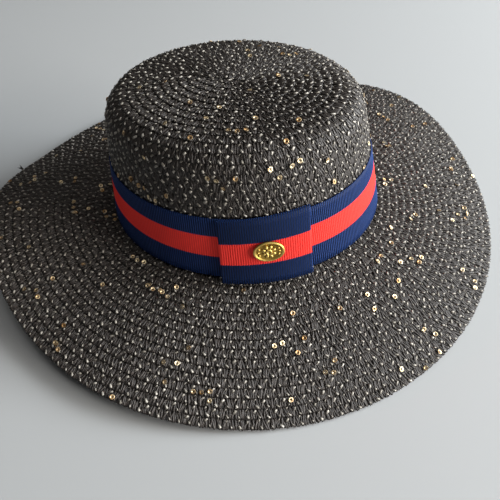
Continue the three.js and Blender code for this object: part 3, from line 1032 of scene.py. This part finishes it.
def ribbon_material():
    """Grosgrain with a red stripe between navy ones and painted shade in its rib grooves. Its map holds the
    rib count and the stripe place.
    """
    material, tree, shader, node = new_material("grosgrain")
    uv = node("ShaderNodeTexCoord").outputs["UV"]
    parts = node("ShaderNodeSeparateXYZ", {"Vector": uv})
    stripe = node("ShaderNodeMath", {0: parts.outputs["Y"], 1: 0.5}, operation="SUBTRACT").outputs[0]
    from_middle = node("ShaderNodeMath", {0: stripe}, operation="ABSOLUTE").outputs[0]
    red = map_range(node, from_middle, NAVY_START, RED_END)
    dyed = node("ShaderNodeMix", {"Factor": red}, data_type="RGBA")
    dyed.inputs["A"].default_value = (*NAVY, 1.0)
    dyed.inputs["B"].default_value = (*RED, 1.0)
    from_groove = node("ShaderNodeMath", {0: parts.outputs["X"], 1: 0.5}, operation="PINGPONG").outputs[0]
    # Painted shade: each colour darkens towards the middle of the grooves between ribs, navy far more than
    # red
    painted_groove_shade = map_range(node, red, to_min=NAVY_GROOVE_PAINTED_SHADE, to_max=RED_GROOVE_PAINTED_SHADE)
    painted_rib_shade = map_range(node, from_groove, GROOVE_END, RIDGE_START, to_min=painted_groove_shade)
    colour = node("ShaderNodeVectorMath", {0: dyed.outputs["Result"], "Scale": painted_rib_shade}, operation="SCALE")
    tree.links.new(colour.outputs["Vector"], shader.inputs["Base Color"])
    shader.inputs["Roughness"].default_value = RIBBON_ROUGHNESS
    shader.inputs["Specular IOR Level"].default_value = RIBBON_SPECULAR
    return material


def brass_material():
    """Satin brass over a fine grain, with painted shade in the recesses and a painted highlight on the
    raised relief.
    """
    material, tree, shader, node = new_material("brass")
    coords = node("ShaderNodeTexCoord")
    relief = node("ShaderNodeSeparateXYZ", {"Vector": coords.outputs["UV"]}).outputs["Y"]
    grain = noise(node, coords.outputs["Object"], BRASS_GRAIN_SCALE, BRASS_GRAIN_DETAIL)
    # Painted shade and highlight: the tone rises with the height of the relief, with the brass's real grain
    # mixed in
    grain_and_painted_relief_light = node("ShaderNodeMath", {0: grain, 1: BRASS_GRAIN_SHARE, 2: relief}, operation="MULTIPLY_ADD")
    colour = colour_ramp(node, grain_and_painted_relief_light.outputs[0], BRASS_SHADE_TO_HIGHLIGHT_PLACES, BRASS_SHADE_TO_HIGHLIGHT_TONES)
    tree.links.new(colour, shader.inputs["Base Color"])
    shader.inputs["Metallic"].default_value = 1.0
    shader.inputs["Roughness"].default_value = BRASS_ROUGHNESS
    return material


def floor_material():
    """Plain matt floor."""
    material, _, shader, _ = new_material("pale_floor")
    shader.inputs["Base Color"].default_value = (*FLOOR_COLOUR, 1.0)
    shader.inputs["Roughness"].default_value = FLOOR_ROUGHNESS
    return material


# Stage, light and camera

def floor(material):
    """Round floor under the hat."""
    bpy.ops.mesh.primitive_circle_add(vertices=FLOOR_SIDES, radius=FLOOR_RADIUS, fill_type="NGON")
    disc = bpy.context.object
    disc.name = "floor"
    disc.data.materials.append(material)


def area_light(name, place, power, colour):
    """A square lamp that faces the hat."""
    lamp = bpy.data.lights.new(name, "AREA")
    lamp.shape = "SQUARE"
    lamp.size = LIGHT_SIZE
    lamp.energy = power
    lamp.color = colour
    light = bpy.data.objects.new(name, lamp)
    bpy.context.scene.collection.objects.link(light)
    light.location = place
    light.rotation_euler = (Vector(LIGHT_TARGET) - Vector(place)).to_track_quat("-Z", "Y").to_euler()


def studio_sky():
    """World that is pale near the horizon and dim overhead."""
    world = bpy.data.worlds.new("studio")
    bpy.context.scene.world = world
    world.use_nodes = True
    tree = world.node_tree
    sky = tree.nodes["Background"]
    sky.inputs["Color"].default_value = (*SKY_COLOUR, 1.0)
    direction = tree.nodes.new("ShaderNodeTexCoord").outputs["Generated"]
    parts = tree.nodes.new("ShaderNodeSeparateXYZ")
    tree.links.new(direction, parts.inputs["Vector"])
    fade = tree.nodes.new("ShaderNodeMapRange")
    fade.inputs["From Min"].default_value = PALE_SKY["height"]
    fade.inputs["From Max"].default_value = DIM_SKY["height"]
    fade.inputs["To Min"].default_value = PALE_SKY["strength"]
    fade.inputs["To Max"].default_value = DIM_SKY["strength"]
    tree.links.new(parts.outputs["Z"], fade.inputs["Value"])
    tree.links.new(fade.outputs["Result"], sky.inputs["Strength"])


def camera():
    """Camera at the fitted place, rolled about its own line of sight."""
    azimuth = math.radians(CAMERA_AZIMUTH_DEG)
    elevation = math.radians(CAMERA_ELEVATION_DEG)
    level = math.cos(elevation)
    back = Vector((math.sin(azimuth) * level, -math.cos(azimuth) * level, math.sin(elevation)))
    data = bpy.data.cameras.new("camera")
    data.sensor_width = SENSOR_WIDTH
    data.lens = FOCAL_LENGTH_PX / IMAGE_WIDTH_PX * SENSOR_WIDTH
    data.clip_start = CAMERA_NEAR * MM
    shot = bpy.data.objects.new("camera", data)
    bpy.context.scene.collection.objects.link(shot)
    roll = Matrix.Rotation(math.radians(CAMERA_ROLL_DEG), 4, "Z")
    aim = (-back).to_track_quat("-Z", "Y").to_matrix().to_4x4()
    place = (Vector(CAMERA_LOOK_AT) + back * CAMERA_DISTANCE) * MM
    shot.matrix_world = Matrix.Translation(place) @ aim @ roll
    bpy.context.scene.camera = shot


# The hat on its stage

straw = {role: straw_material(**look) for role, look in STRAW_LOOKS.items()}
straw |= {role: metal_material(**look) for role, look in METAL_LOOKS.items()}
dress_straw("crown", CROWN_BRAID, straw)
dress_straw("brim", BRIM_BRAID, straw)
mesh_piece("brim_braid_end", *braid_end(BRIM_BRAID, np.random.default_rng(SEED)), straw["strand"])
grosgrain = ribbon_material()
ribbon_band(grosgrain)
ribbon_tab(grosgrain)
ornament(brass_material())
floor(floor_material())
for light in LIGHTS:
    area_light(**light)
studio_sky()
camera()
bpy.context.scene.view_settings.view_transform = "Standard"
